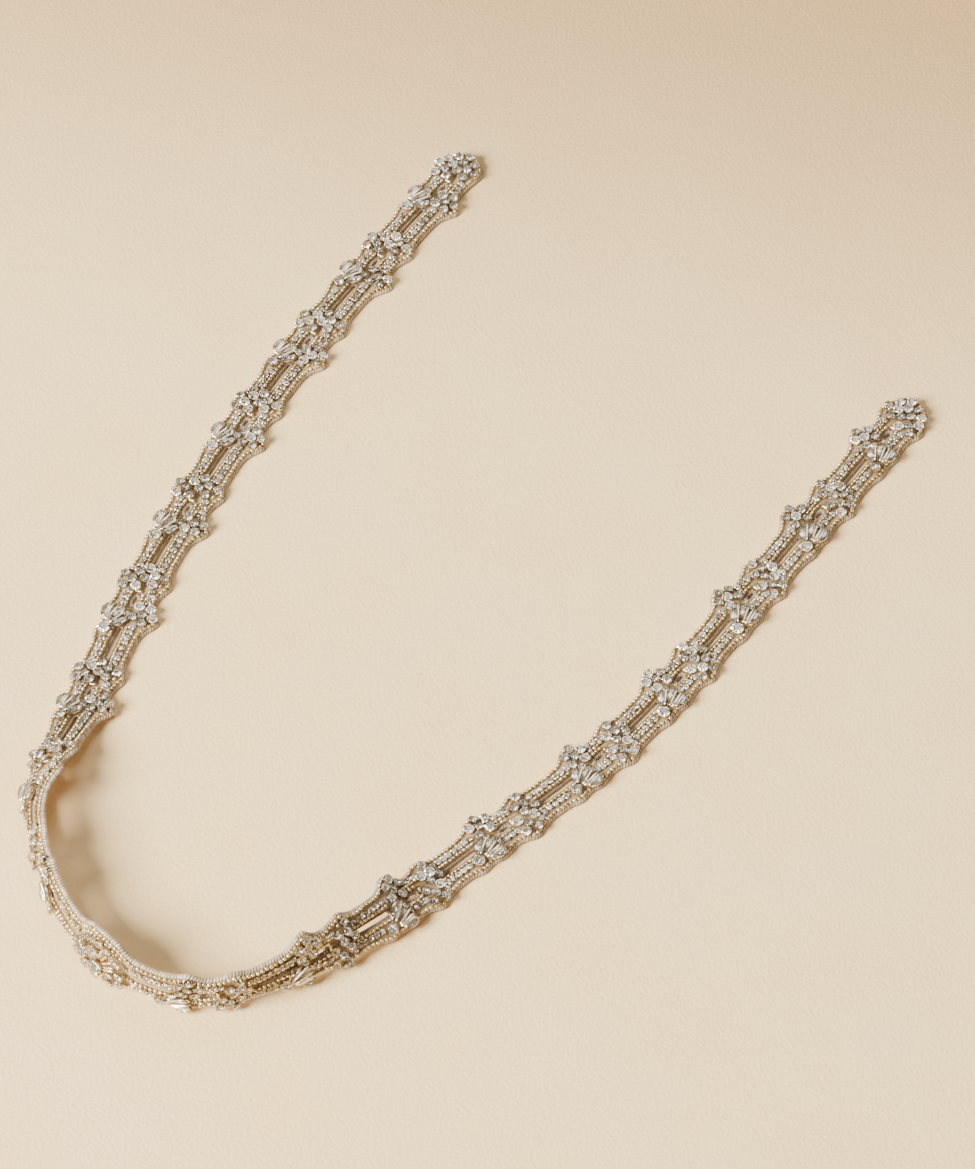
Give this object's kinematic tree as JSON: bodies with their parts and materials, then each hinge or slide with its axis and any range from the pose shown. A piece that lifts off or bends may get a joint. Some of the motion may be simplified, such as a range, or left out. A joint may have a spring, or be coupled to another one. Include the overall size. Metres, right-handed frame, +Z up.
{
  "type": "bridal sash",
  "caption": "Narrow cutwork bridal sash laid in a tilted U, set with round and navette crystals, rhinestone chain and gold beads, edged with overcast thread.",
  "frame": {"origin": "on the surface the sash lies on, under the middle of its box", "axes": "+Z up from the surface, +Y from the bend towards the tips, +X from the left arm to the right arm"},
  "size_m": [0.3566, 0.4353, 0.0246],
  "materials": {
    "net_backing": "champagne net on felt, matte, with overcast edges in silver-taupe thread",
    "crystal": "clear faceted crystal with a foiled back",
    "silver_setting": "silver-plated brass cups and prongs",
    "gold_bead": "gold-lined glass seed and bugle beads"
  },
  "bodies": {
    "root": {"backing_strip": "net_backing", "middle_motif": "crystal", "cluster_left_1": "crystal", "cluster_left_2": "crystal", "cluster_left_3": "crystal", "cluster_left_4": "crystal", "cluster_left_5": "crystal", "cluster_left_6": "crystal", "cluster_left_7": "crystal", "cluster_left_8": "crystal", "cluster_left_9": "crystal", "cluster_right_1": "crystal", "cluster_right_2": "crystal", "cluster_right_3": "crystal", "cluster_right_4": "crystal", "cluster_right_5": "crystal", "cluster_right_6": "crystal", "cluster_right_7": "crystal", "cluster_right_8": "crystal", "cluster_right_9": "crystal", "rosette_left_1": "crystal", "rosette_left_2": "crystal", "rosette_left_3": "crystal", "rosette_left_4": "crystal", "rosette_left_5": "crystal", "rosette_left_6": "crystal", "rosette_left_7": "crystal", "rosette_left_8": "crystal", "rosette_left_9": "crystal", "rosette_right_1": "crystal", "rosette_right_2": "crystal", "rosette_right_3": "crystal", "rosette_right_4": "crystal", "rosette_right_5": "crystal", "rosette_right_6": "crystal", "rosette_right_7": "crystal", "rosette_right_8": "crystal", "rosette_right_9": "crystal", "fan_left_1": "crystal", "fan_left_2": "crystal", "fan_left_3": "crystal", "fan_left_4": "crystal", "fan_left_5": "crystal", "fan_left_6": "crystal", "fan_left_7": "crystal", "fan_left_8": "crystal", "fan_left_9": "crystal", "fan_right_1": "crystal", "fan_right_2": "crystal", "fan_right_3": "crystal", "fan_right_4": "crystal", "fan_right_5": "crystal", "fan_right_6": "crystal", "fan_right_7": "crystal", "fan_right_8": "crystal", "fan_right_9": "crystal"}
  },
  "joints": []
}
